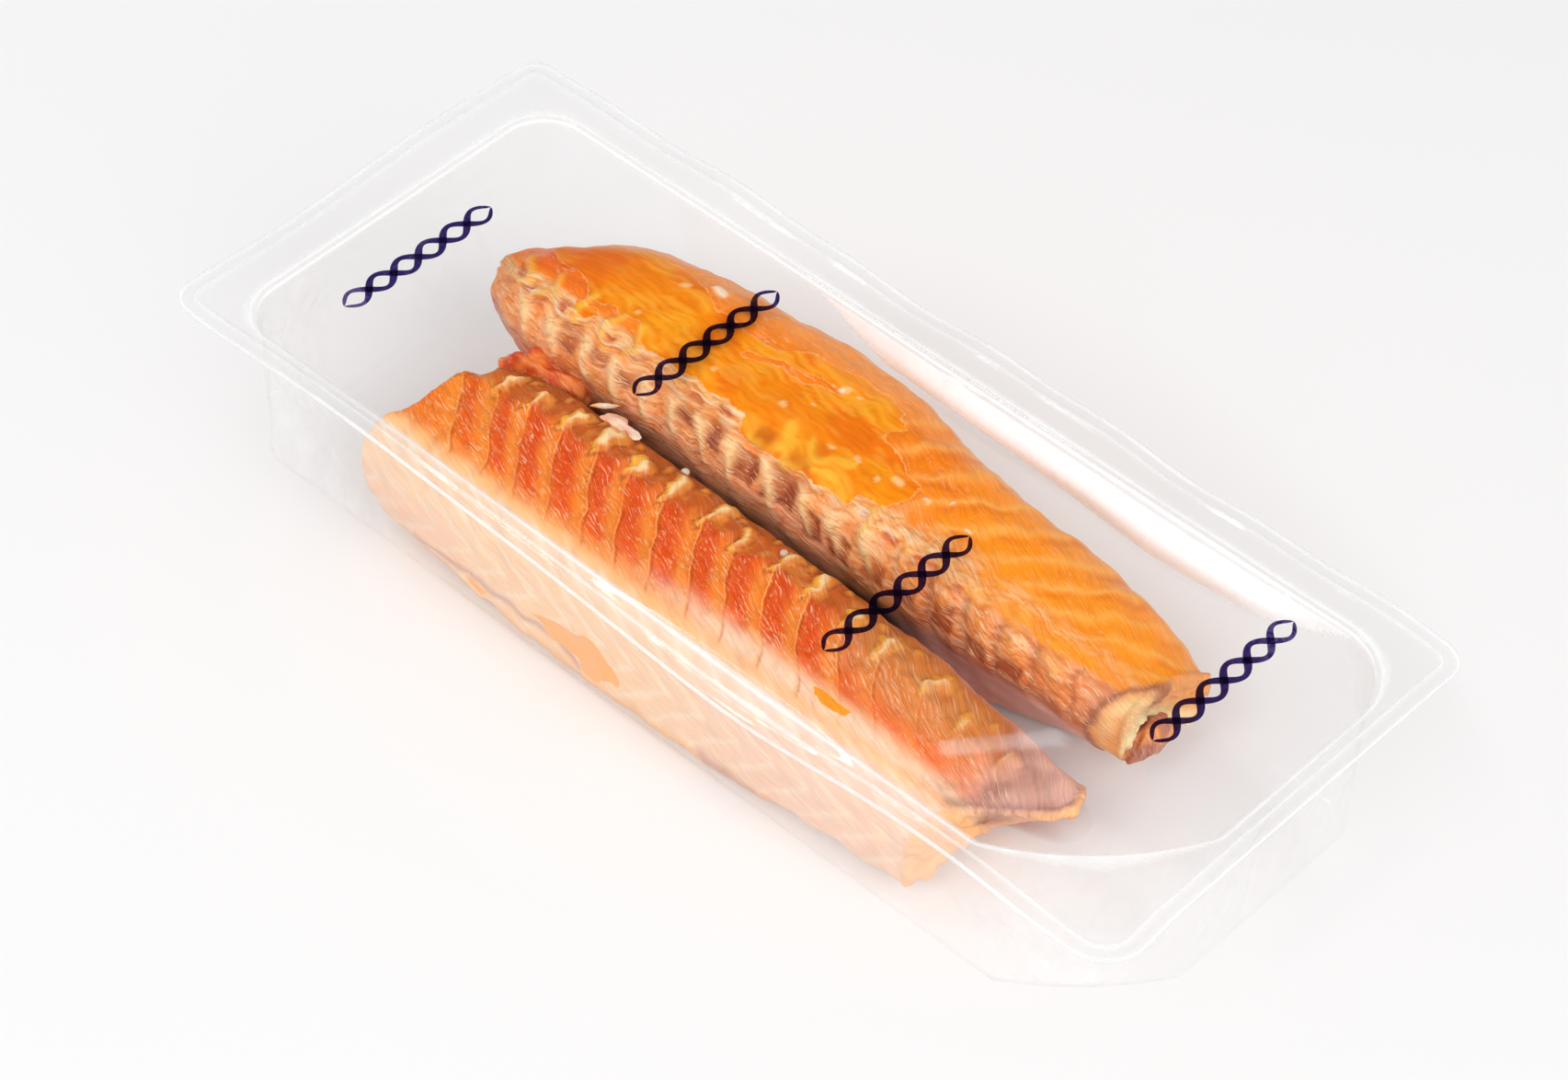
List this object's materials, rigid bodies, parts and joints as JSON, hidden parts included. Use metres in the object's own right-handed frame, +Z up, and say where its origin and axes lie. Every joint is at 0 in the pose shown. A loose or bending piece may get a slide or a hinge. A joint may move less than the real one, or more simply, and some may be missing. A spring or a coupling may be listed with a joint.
{
  "type": "pack of smoked salmon",
  "caption": "Clear thermoformed tray with a sealed clear lid film, holding hot smoked salmon backs side by side under a plain printed motif.",
  "frame": {"origin": "under the middle of the pack's outline, at the height of the tray's floor", "axes": "+X along the pack, +Y across it towards the thicker back, +Z up through the lid"},
  "size_m": [0.2924, 0.1216, 0.0546],
  "materials": {
    "tray_film": "clear soft thermoformed film, glossy, with creases",
    "lid_film": "clear glossy lid film with small dark violet print marks",
    "smoked_salmon": "moist hot smoked salmon flesh, amber to orange red, brown along the backbone side"
  },
  "bodies": {
    "root": {"tray": "tray_film", "lid_film": "lid_film", "salmon_back_far": "smoked_salmon", "salmon_back_near": "smoked_salmon"}
  },
  "joints": []
}
